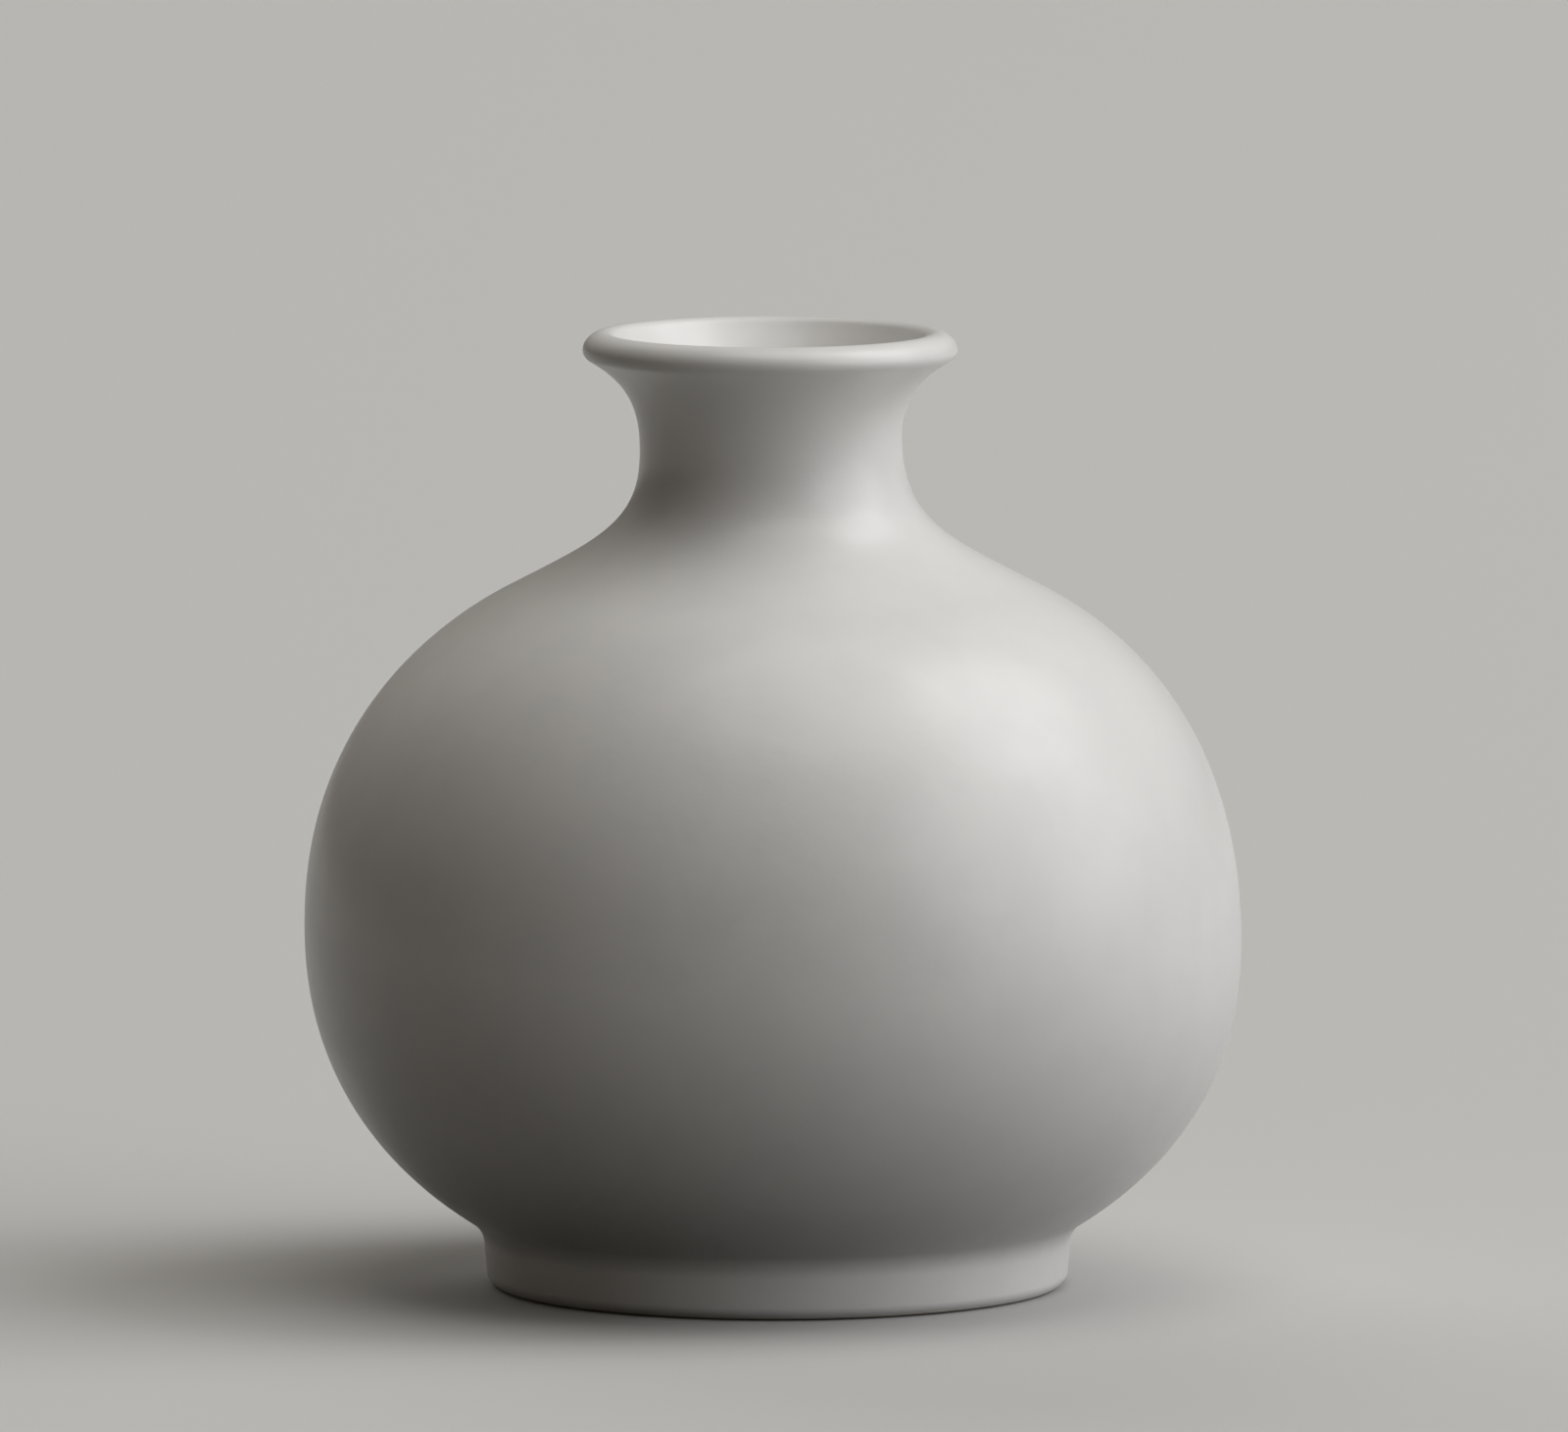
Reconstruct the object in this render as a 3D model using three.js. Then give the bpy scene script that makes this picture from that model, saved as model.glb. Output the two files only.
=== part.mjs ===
// Ikebana vase in white porcelain: a full round belly on a low foot ring, a waisted neck and
// a rolled lip. It is put together as a potter lutes a closed form, from turned sections with
// a layer of slip in every joint. Millimetres, +Z up, the origin at the centre of the standing
// face. Each section is one outline, turned about the axis.

import * as THREE from 'three';

// Outside form: radii from the axis and heights above the standing face
const BELLY_RADIUS = 57.4;
const BELLY_HEIGHT = 43.4;
const SHOULDER_RADIUS = 32.3;
const SHOULDER_HEIGHT = 86.05;
const WAIST_RADIUS = 16.05;
const WAIST_HEIGHT = 103.6;
const LIP_RADIUS = 22.9;
const TOTAL_HEIGHT = 117.3;

// Way the outside runs on its way up, in degrees: 0 straight out, 90 straight up
const RISE_FROM_FOOT = 32;
const RISE_UPRIGHT = 90;
const RISE_OVER_SHOULDER = 152.8;
const RISE_INTO_LIP = 30;
const RISE_OUT_OF_MOUTH = 55;

// Fullness of each curve: how far it keeps to its first and to its last direction
const LOWER_BELLY_FULLNESS = [21, 8.5];
const UPPER_BELLY_FULLNESS = [29.7, 5.5];
const NECK_ROOT_FULLNESS = [12.7, 9.3];
const FLARE_FULLNESS = [4.6, 5.3];
const MOUTH_FULLNESS = [7.5, 4.5];
const FLOOR_FULLNESS = [16, 5];

// Wall, which thins evenly from the foot to the waist, and the floor
const WALL_AT_FOOT = 4.4;
const WALL_AT_WAIST = 3.2;
const FLOOR_HEIGHT = 10.2;

// Rolled lip: an oval that droops outwards, in degrees below level
const LIP_HALF_WIDTH = 2.2;
const LIP_HALF_DEPTH = 1.7;
const LIP_DROOP = 28;

// Foot ring and the track in the underside that it is seated in
const FOOT_RADIUS = 35.5;
const FOOT_LEAN = 5;
const FOOT_HEIGHT = 7.1;
const FOOT_INSIDE_RADIUS = 30.9;
const FOOT_INSIDE_LEAN = -8;
const FOOT_OUTER_EDGE = 1.8;
const FOOT_INNER_EDGE = 1;
const UNDERSIDE_HEIGHT = 5.7;

// Slip in the joints, the fillets wiped round the foot, and the key of the other two joints
const SLIP = 0.5;
const FOOT_FILLET = 3.8;
const FOOT_COVE = 1.2;
const KEY_DEPTH = 1.4;

// Steps round the axis, and along each curve
const TURNING_STEPS = 60;
const LOWER_BELLY_STEPS = 7;
const UPPER_BELLY_STEPS = 9;
const NECK_ROOT_STEPS = 8;
const WALL_INSIDE_STEPS = 6;
const FLARE_STEPS = 5;
const LIP_STEPS = 12;
const MOUTH_STEPS = 5;
const FLOOR_STEPS = 4;
const EDGE_STEPS = 4;

const glazed = new THREE.MeshStandardMaterial({ color: 0xefece6, roughness: 0.4, metalness: 0 });
const bareClay = new THREE.MeshStandardMaterial({ color: 0xe4ddd0, roughness: 0.85, metalness: 0 });
const driedSlip = new THREE.MeshStandardMaterial({ color: 0xe9e4da, roughness: 0.8, metalness: 0 });

const point = (radius, height) => new THREE.Vector2(radius, height);

// Unit step in a direction given in degrees, 0 away from the axis and 90 up
function heading(degrees) {
  const angle = THREE.MathUtils.degToRad(degrees);
  return point(Math.cos(angle), Math.sin(angle));
}

// Curve from one point to another that leaves and arrives in given directions
function flow(start, startDegrees, end, endDegrees, [startFullness, endFullness]) {
  const afterStart = start.clone().addScaledVector(heading(startDegrees), startFullness);
  const beforeEnd = end.clone().addScaledVector(heading(endDegrees), -endFullness);
  return new THREE.CubicBezierCurve(start, afterStart, beforeEnd, end);
}

// Points of the arc that rounds a corner between two straight sides
function roundedCorner(before, corner, after, radius) {
  const back = before.clone().sub(corner).normalize();
  const ahead = after.clone().sub(corner).normalize();
  const halfAngle = Math.acos(back.dot(ahead)) / 2;
  const start = corner.clone().addScaledVector(back, radius / Math.tan(halfAngle));
  const middle = back.clone().add(ahead).normalize();
  const centre = corner.clone().addScaledVector(middle, radius / Math.sin(halfAngle));
  const sweep = (Math.PI - 2 * halfAngle) * Math.sign(ahead.cross(back));
  const points = [];
  for (let step = 0; step <= EDGE_STEPS; step += 1) {
    points.push(start.clone().rotateAround(centre, (sweep * step) / EDGE_STEPS));
  }
  return points;
}

// Foot ring's straight sides
const footSide = (height) =>
  point(FOOT_RADIUS + height * Math.tan(THREE.MathUtils.degToRad(FOOT_LEAN)), height);
const footInside = (height) =>
  point(FOOT_INSIDE_RADIUS + height * Math.tan(THREE.MathUtils.degToRad(FOOT_INSIDE_LEAN)), height);

// Slip fillet outside, where the foot meets the belly, and cove inside the foot
const footCorner = footSide(FOOT_HEIGHT);
const footFillet = roundedCorner(
  footSide(0),
  footCorner,
  footCorner.clone().add(heading(RISE_FROM_FOOT)),
  FOOT_FILLET,
);
const footCove = roundedCorner(
  point(0, UNDERSIDE_HEIGHT),
  footInside(UNDERSIDE_HEIGHT),
  footInside(0),
  FOOT_COVE,
);

// Turn round the lip's oval to where its line runs in a given direction
function lipTurn(degrees) {
  const way = heading(degrees + LIP_DROOP);
  return Math.atan2(-LIP_HALF_DEPTH * way.x, LIP_HALF_WIDTH * way.y);
}

// Lip, from the top of the flare round to the mouth, set to its outside radius and its height
const droop = heading(LIP_DROOP);
const lip = new THREE.EllipseCurve(
  LIP_RADIUS - Math.hypot(LIP_HALF_WIDTH * droop.x, LIP_HALF_DEPTH * droop.y),
  TOTAL_HEIGHT - Math.hypot(LIP_HALF_WIDTH * droop.y, LIP_HALF_DEPTH * droop.x),
  LIP_HALF_WIDTH,
  LIP_HALF_DEPTH,
  lipTurn(RISE_INTO_LIP),
  lipTurn(RISE_OUT_OF_MOUTH + 180),
  false,
  THREE.MathUtils.degToRad(-LIP_DROOP),
);
const lipStart = lip.getPoint(0);
const mouthEdge = lip.getPoint(1);

// Outside of the vase, from the top of the foot's fillet to the underside of the lip
const bellyStart = footFillet[EDGE_STEPS];
const belly = point(BELLY_RADIUS, BELLY_HEIGHT);
const shoulder = point(SHOULDER_RADIUS, SHOULDER_HEIGHT);
const waist = point(WAIST_RADIUS, WAIST_HEIGHT);

const lowerBelly = flow(bellyStart, RISE_FROM_FOOT, belly, RISE_UPRIGHT, LOWER_BELLY_FULLNESS);
const upperBelly = flow(belly, RISE_UPRIGHT, shoulder, RISE_OVER_SHOULDER, UPPER_BELLY_FULLNESS);
const neckRoot = flow(shoulder, RISE_OVER_SHOULDER, waist, RISE_UPRIGHT, NECK_ROOT_FULLNESS);
const flare = flow(waist, RISE_UPRIGHT, lipStart, RISE_INTO_LIP, FLARE_FULLNESS);

const outline = new THREE.CurvePath();
[lowerBelly, upperBelly, neckRoot].forEach((curve) => outline.add(curve));

const BELLY_JOINT = lowerBelly.getLength();
const NECK_JOINT = BELLY_JOINT + upperBelly.getLength();
const WAIST_REACH = outline.getLength();

// A place on the wall is told by its way up the outside from the foot, as a tape would lie
const outside = (reach) => outline.getPoint(reach / WAIST_REACH);
const uphill = (reach) => outline.getTangent(reach / WAIST_REACH);
const wallAt = (reach) => THREE.MathUtils.lerp(WALL_AT_FOOT, WALL_AT_WAIST, reach / WAIST_REACH);

// Point in the wall, at a share of its thickness from the outside
function within(reach, share) {
  const along = uphill(reach);
  return outside(reach).addScaledVector(point(-along.y, along.x), wallAt(reach) * share);
}

// Points up a stretch of the wall, both ends included
function stretch(from, to, steps, share) {
  const points = [];
  for (let step = 0; step <= steps; step += 1) {
    points.push(within(THREE.MathUtils.lerp(from, to, step / steps), share));
  }
  return points;
}

// Joint face across the wall, from the outside in, with a ridge that keys into the piece below
function jointFace(reach) {
  const ridge = within(reach, 0.5).addScaledVector(uphill(reach), -KEY_DEPTH);
  return [within(reach, 0), ridge, within(reach, 1)];
}

const lowerFace = (joint) => jointFace(joint - SLIP / 2);
const upperFace = (joint) => jointFace(joint + SLIP / 2);

// Mouth, from the throat at the waist out into the rolled lip
const throat = within(WAIST_REACH, 1);
const mouth = flow(throat, RISE_UPRIGHT, mouthEdge, RISE_OUT_OF_MOUTH, MOUTH_FULLNESS);

const vase = new THREE.Group();

// Solid of revolution of a section drawn anticlockwise, with the radius to the right
function addTurned(name, section, material) {
  const onAxis = section[0].x === 0;
  const profile = onAxis ? section : [...section, section[0].clone()];
  const geometry = new THREE.LatheGeometry(profile, TURNING_STEPS);
  geometry.rotateX(Math.PI / 2);
  const mesh = new THREE.Mesh(geometry, material);
  mesh.name = name;
  vase.add(mesh);
}

// Foot ring: flat standing face with eased edges, and a flat top that goes into the track
function addFootRing() {
  const ringTop = FOOT_HEIGHT - SLIP;
  const standing = point((FOOT_RADIUS + FOOT_INSIDE_RADIUS) / 2, 0);
  addTurned('foot_ring', [
    ...roundedCorner(standing, footSide(0), footSide(ringTop), FOOT_OUTER_EDGE),
    footFillet[0],
    footSide(ringTop),
    footInside(ringTop),
    footCove[EDGE_STEPS],
    ...roundedCorner(footInside(ringTop), footInside(0), standing, FOOT_INNER_EDGE),
  ], bareClay);
}

// Radius of the track's inner wall, a layer of slip inside the foot ring
const TRACK_RADIUS = footInside(UNDERSIDE_HEIGHT).x - SLIP;

// Slip that beds the foot ring in its track and is wiped to a fillet on both sides
function addFootSeam() {
  const ringTop = FOOT_HEIGHT - SLIP;
  addTurned('foot_seam', [
    ...footFillet,
    footCorner,
    point(TRACK_RADIUS, FOOT_HEIGHT),
    point(TRACK_RADIUS, UNDERSIDE_HEIGHT),
    ...footCove,
    footInside(ringTop),
    footSide(ringTop),
  ], driedSlip);
}

// Lower bowl: floor, track for the foot and the wall up to the widest girth
function addLowerBowl() {
  const top = BELLY_JOINT - SLIP / 2;
  const wallFoot = within(0, 1);
  const floor = flow(point(0, FLOOR_HEIGHT), 0, wallFoot, RISE_FROM_FOOT, FLOOR_FULLNESS);
  addTurned('lower_bowl', [
    point(0, UNDERSIDE_HEIGHT),
    footCove[0],
    point(TRACK_RADIUS, UNDERSIDE_HEIGHT),
    point(TRACK_RADIUS, FOOT_HEIGHT),
    footCorner,
    ...stretch(0, top, LOWER_BELLY_STEPS, 0).slice(0, -1),
    ...lowerFace(BELLY_JOINT),
    ...stretch(0, top, WALL_INSIDE_STEPS, 1).reverse().slice(1, -1),
    ...floor.getPoints(FLOOR_STEPS).reverse(),
  ], glazed);
}

// Upper dome: the wall from the widest girth over the shoulder
function addUpperDome() {
  const bottom = BELLY_JOINT + SLIP / 2;
  const top = NECK_JOINT - SLIP / 2;
  addTurned('upper_dome', [
    ...upperFace(BELLY_JOINT).reverse(),
    ...stretch(bottom, top, UPPER_BELLY_STEPS, 0).slice(1, -1),
    ...lowerFace(NECK_JOINT),
    ...stretch(bottom, top, WALL_INSIDE_STEPS, 1).reverse().slice(1, -1),
  ], glazed);
}

// Neck collar: the drawn-in waist, the flare and the rolled lip, with the mouth inside
function addNeckCollar() {
  const bottom = NECK_JOINT + SLIP / 2;
  addTurned('neck_collar', [
    ...upperFace(NECK_JOINT).reverse(),
    ...stretch(bottom, WAIST_REACH, NECK_ROOT_STEPS, 0).slice(1),
    ...flare.getPoints(FLARE_STEPS).slice(1, -1),
    ...lip.getPoints(LIP_STEPS),
    ...mouth.getPoints(MOUTH_STEPS).reverse().slice(1),
    ...stretch(bottom, WAIST_REACH, WALL_INSIDE_STEPS, 1).reverse().slice(1, -1),
  ], glazed);
}

// Slip seam between two keyed joint faces
function addSeam(name, joint) {
  addTurned(name, [...lowerFace(joint).reverse(), ...upperFace(joint)], driedSlip);
}

addFootRing();
addFootSeam();
addLowerBowl();
addSeam('belly_seam', BELLY_JOINT);
addUpperDome();
addSeam('neck_seam', NECK_JOINT);
addNeckCollar();

export default vase;
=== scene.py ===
# Ikebana vase in white porcelain under a satin glaze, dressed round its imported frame.
# Every section is a fine turned form: the clay stands a glaze's thickness inside the finished
# surface, and the glaze is a closed coat of its own. Metres, +Z up, origin under the foot.

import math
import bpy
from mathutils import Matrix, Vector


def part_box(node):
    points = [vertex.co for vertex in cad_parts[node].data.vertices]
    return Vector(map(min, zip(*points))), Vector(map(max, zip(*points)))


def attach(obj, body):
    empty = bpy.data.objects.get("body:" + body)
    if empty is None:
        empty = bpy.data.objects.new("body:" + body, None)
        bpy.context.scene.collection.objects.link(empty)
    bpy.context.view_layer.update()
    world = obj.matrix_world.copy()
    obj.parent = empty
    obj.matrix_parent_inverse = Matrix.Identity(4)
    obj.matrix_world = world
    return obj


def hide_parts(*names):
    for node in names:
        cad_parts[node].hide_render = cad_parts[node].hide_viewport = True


bl_info = {
    "name": "Ikebana Vase",
    "version": (1, 0, 0),
    "blender": (4, 5, 0),
    "location": "3D View > Sidebar > Vase",
    "description": "Turns a luted porcelain vase, glazes it and sets it in a soft-lit studio",
    "category": "Add Mesh",
}

import bpy
import numpy as np
from bpy.props import FloatProperty, FloatVectorProperty, IntProperty, PointerProperty
from mathutils import Vector

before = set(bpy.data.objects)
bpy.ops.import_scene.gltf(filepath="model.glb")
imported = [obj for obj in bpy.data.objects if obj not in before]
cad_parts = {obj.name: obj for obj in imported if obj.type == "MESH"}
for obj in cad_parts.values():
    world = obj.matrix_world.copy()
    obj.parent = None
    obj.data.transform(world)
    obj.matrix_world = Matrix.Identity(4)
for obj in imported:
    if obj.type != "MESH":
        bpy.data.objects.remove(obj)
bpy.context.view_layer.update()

MM = 0.001
BODY = "root"
UPRIGHT = math.pi / 2

# Nearness, in metres, at which two points of a section are one, and two of a mesh are welded
SAME_POINT = 1e-7
WELD = 1e-6

# Main sizes that the frame already holds
GIRTH_RADIUS = round(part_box("belly_seam")[1].x, 5)
TOTAL_HEIGHT = round(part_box("neck_collar")[1].z, 5)

# How far the vase's middle has strayed to the right, in mm, at even steps from the foot to the lip
SWAY_MM = (0, 0, -0.11, -0.36, -0.58, -0.62, -0.44, -0.24, -0.4, -0.86, -0.9)


def length(name, default, description):
    """A size in metres, as a property."""
    return FloatProperty(
        name=name, description=description, default=default, min=0, unit="LENGTH", precision=5
    )


def pull(name, start, end, description):
    """How far a curve keeps to its first and to its last direction."""
    return FloatVectorProperty(
        name=name, description=description, default=(start, end), size=2, unit="LENGTH", precision=5
    )


def slope(name, degrees, description):
    """A direction or a lean, as a property."""
    return FloatProperty(
        name=name, description=description, default=math.radians(degrees), subtype="ANGLE"
    )


def colour(name, default, description):
    """A colour of clay, glaze or floor, as a property."""
    return FloatVectorProperty(
        name=name, description=description, default=default, size=3, min=0, max=1, subtype="COLOR"
    )


class VaseForm(bpy.types.PropertyGroup):
    """Sizes of the finished vase."""

    belly_radius: length("Belly radius", GIRTH_RADIUS, "Widest girth, from the axis")
    belly_height: length("Belly height", 43.4 * MM, "Height of the widest girth")
    belly_low: pull("Lower belly", 21 * MM, 8.5 * MM, "Fullness from the foot to the girth")
    belly_high: pull("Upper belly", 29.7 * MM, 5.5 * MM, "Fullness from the girth to the shoulder")
    shoulder_radius: length("Shoulder radius", 32.3 * MM, "Where the shoulder turns hollow")
    shoulder_height: length("Shoulder height", 86.05 * MM, "Height of the turn in the shoulder")
    neck_root: pull("Neck root", 12.7 * MM, 9.3 * MM, "Fullness from the shoulder to the waist")
    waist_radius: length("Waist radius", 16.05 * MM, "Slimmest part of the neck")
    waist_height: length("Waist height", 103.6 * MM, "Height of the waist")
    flare: pull("Flare", 4.6 * MM, 5.3 * MM, "Fullness from the waist to the lip")
    lip_radius: length("Lip radius", 22.9 * MM, "Outside of the rolled lip")
    lip_roll: pull("Lip roll", 2.2 * MM, 1.7 * MM, "Half width and half depth of the roll's oval")
    lip_droop: slope("Lip droop", 28, "How the roll's oval hangs outwards")
    mouth: pull("Mouth", 7.5 * MM, 4.5 * MM, "Fullness from the throat to the lip, inside")
    total_height: length("Height", TOTAL_HEIGHT, "Height of the vase")
    rise_from_foot: slope("Rise from foot", 32, "How the belly leaves the foot")
    rise_over_shoulder: slope("Rise over shoulder", 152.8, "How the shoulder leans in")
    rise_into_lip: slope("Rise into lip", 30, "How the flare meets the lip")
    rise_out_of_mouth: slope("Rise out of mouth", 55, "How the mouth meets the lip")
    wall_at_foot: length("Wall at the foot", 4.4 * MM, "Wall thickness above the foot")
    wall_at_waist: length("Wall at the waist", 3.2 * MM, "Wall thickness in the neck")
    floor_height: length("Floor", 10.2 * MM, "Height of the floor inside")
    floor: pull("Floor dish", 16 * MM, 5 * MM, "Fullness from the floor into the wall")
    foot_radius: length("Foot radius", 35.5 * MM, "Foot ring at the table, outside")
    foot_lean: slope("Foot lean", 5, "How the foot widens upwards")
    foot_height: length("Foot height", 7.1 * MM, "Where the foot meets the belly")
    foot_bore: length("Foot inside", 30.9 * MM, "Foot ring at the table, inside")
    foot_bore_lean: slope("Foot inside lean", -8, "How the inside narrows upwards")
    foot_outer_edge: length("Outer edge", 1.8 * MM, "Rounding of the foot's outer edge")
    foot_inner_edge: length("Inner edge", 1 * MM, "Rounding of the foot's inner edge")
    foot_fillet: length("Fillet", 3.8 * MM, "Slip fillet where the foot meets the belly")
    foot_cove: length("Cove", 1.2 * MM, "Slip cove inside the foot")
    underside: length("Underside", 5.7 * MM, "Height of the recess in the foot")
    slip: length("Slip", 0.5 * MM, "Thickness of the slip in the joints")
    key: length("Key", 1.4 * MM, "Depth of the ridge in the two wall joints")


class VaseHand(bpy.types.PropertyGroup):
    """What the maker's hand and the kiln leave: small departures from the true form."""

    glaze: length("Glaze", 0.35 * MM, "Thickness of the glaze")
    bare_edge: length("Bare edge", 0.4 * MM, "Height up to which the foot is wiped bare")
    full_glaze: length("Full glaze", 1.5 * MM, "Height from which the glaze is at full thickness")
    sway: FloatVectorProperty(
        name="Sway",
        description="How far the middle has strayed from the axis, at even steps up the height",
        default=[value * MM for value in SWAY_MM],
        size=len(SWAY_MM),
        unit="LENGTH",
        precision=5,
    )
    ripple: length("Ripple", 0.12 * MM, "Depth of the slow unevenness in the wall")
    ripple_size: length("Ripple size", 38 * MM, "Size of the slow unevenness")
    seed: IntProperty(name="Seed", description="Picks the unevenness", default=7, min=0)
    steps: IntProperty(name="Steps", description="Steps round the axis", default=144, min=24)


class VaseColours(bpy.types.PropertyGroup):
    """Colours of the finishes and of the studio."""

    glaze: colour("Glaze", (0.82, 0.81, 0.785), "Satin white glaze")
    glaze_cool: colour("Cooler glaze", (0.77, 0.77, 0.757), "Other tone that the glaze drifts to")
    clay: colour("Clay", (0.74, 0.69, 0.61), "Bare fired porcelain")
    slip: colour("Slip", (0.76, 0.725, 0.66), "Dried joining slip")
    floor: colour("Floor", (0.61, 0.605, 0.59), "Studio floor")
    floor_glow: colour("Floor glow", (0.06, 0.057, 0.054), "Floor, as it lights the vase from below")


# Lines of a section. A line is an array of rows: radius, height, and the way it runs there.
# Going round a section anticlockwise, the clay is always on the left of the line.

# How many straight steps stand for each line, and for each curve that the outside is read from
LINE_STEPS = {
    "underside": 16,
    "cove": 8,
    "foot_inside": 5,
    "foot_inner_edge": 10,
    "standing": 3,
    "foot_outer_edge": 14,
    "foot_outside": 5,
    "fillet": 12,
    "bowl": 48,
    "belly_gap": 1,
    "dome": 60,
    "neck_gap": 1,
    "neck": 34,
    "flare": 18,
    "lip": 32,
    "mouth": 20,
    "floor": 18,
}
TRACE_STEPS = 600

# Share of the full coat that the glaze has where it begins, over the wiped foot
GLAZE_START = 0.4


def heading(angle):
    """Unit step in a direction, 0 away from the axis."""
    return np.array((math.cos(angle), math.sin(angle)))


def spot(radius, height):
    """A single corner of a section."""
    return np.array([[radius, height, 0, 0]])


def straight(start, end, steps=1):
    """A straight line."""
    share = np.linspace(0, 1, steps + 1)[:, None]
    way = (end - start) / np.linalg.norm(end - start)
    return np.hstack([start + (end - start) * share, np.tile(way, (steps + 1, 1))])


def arc(centre, radius, start, end, steps):
    """Part of a circle, from one angle to another."""
    angles = np.linspace(start, end, steps + 1)
    spokes = np.stack([np.cos(angles), np.sin(angles)], axis=1)
    across = np.stack([-spokes[:, 1], spokes[:, 0]], axis=1) * np.sign(end - start)
    return np.hstack([centre + spokes * radius, across])


def oval(edge, halves, droop, start, end, steps):
    """Part of an oval, from one direction of travel to another, that hangs outwards by a droop."""
    turn_in = np.array(((math.cos(droop), math.sin(droop)), (-math.sin(droop), math.cos(droop))))
    reach = np.linalg.norm(turn_in * halves, axis=1)
    ways = [np.array((math.cos(angle + droop), math.sin(angle + droop))) for angle in (start, end)]
    first, last = (math.atan2(-halves[1] * way[0], halves[0] * way[1]) for way in ways)
    turns = np.linspace(first, last + (2 * math.pi if last < first else 0), steps + 1)
    spots = np.stack([np.cos(turns), np.sin(turns)], axis=1) * halves
    across = np.stack([-np.sin(turns), np.cos(turns)], axis=1) * halves
    across = across / np.linalg.norm(across, axis=1)[:, None]
    return np.hstack([edge - reach + spots @ turn_in.T, across @ turn_in.T])


def flow(start, start_angle, end, end_angle, fullness, steps):
    """A curve that leaves and arrives in given directions."""
    t = np.linspace(0, 1, steps + 1)[:, None]
    after = start + heading(start_angle) * fullness[0]
    before = end - heading(end_angle) * fullness[1]
    at = (1 - t) ** 3 * start + 3 * (1 - t) ** 2 * t * after + 3 * (1 - t) * t**2 * before + t**3 * end
    way = (1 - t) ** 2 * (after - start) + 2 * (1 - t) * t * (before - after) + t**2 * (end - before)
    return np.hstack([at, way / np.linalg.norm(way, axis=1)[:, None]])


def rounded_corner(before, corner, after, radius, steps):
    """The arc that rounds a corner between two straight sides."""
    back = (before - corner) / np.linalg.norm(before - corner)
    ahead = (after - corner) / np.linalg.norm(after - corner)
    half = math.acos(back @ ahead) / 2
    start = corner + back * radius / math.tan(half)
    middle = (back + ahead) / np.linalg.norm(back + ahead)
    centre = corner + middle * radius / math.sin(half)
    sweep = (math.pi - 2 * half) * np.sign(ahead[0] * back[1] - ahead[1] * back[0])
    first = math.atan2(*(start - centre)[::-1])
    return arc(centre, radius, first, first + sweep, steps)


def backwards(line):
    """The same line, run the other way."""
    return line[::-1] * np.array((1, 1, -1, -1))


def sunk(line, depth):
    """A line moved into the clay at right angles."""
    depth = np.broadcast_to(depth, len(line))[:, None]
    left = np.stack([-line[:, 3], line[:, 2]], axis=1)
    return np.hstack([line[:, :2] + left * depth, line[:, 2:]])


def join(*lines):
    """Lines end to end, without the points that two of them share."""
    rows = np.vstack(lines)
    gaps = np.linalg.norm(np.diff(rows[:, :2], axis=0), axis=1)
    return rows[np.concatenate([[True], gaps > SAME_POINT])]


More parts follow.
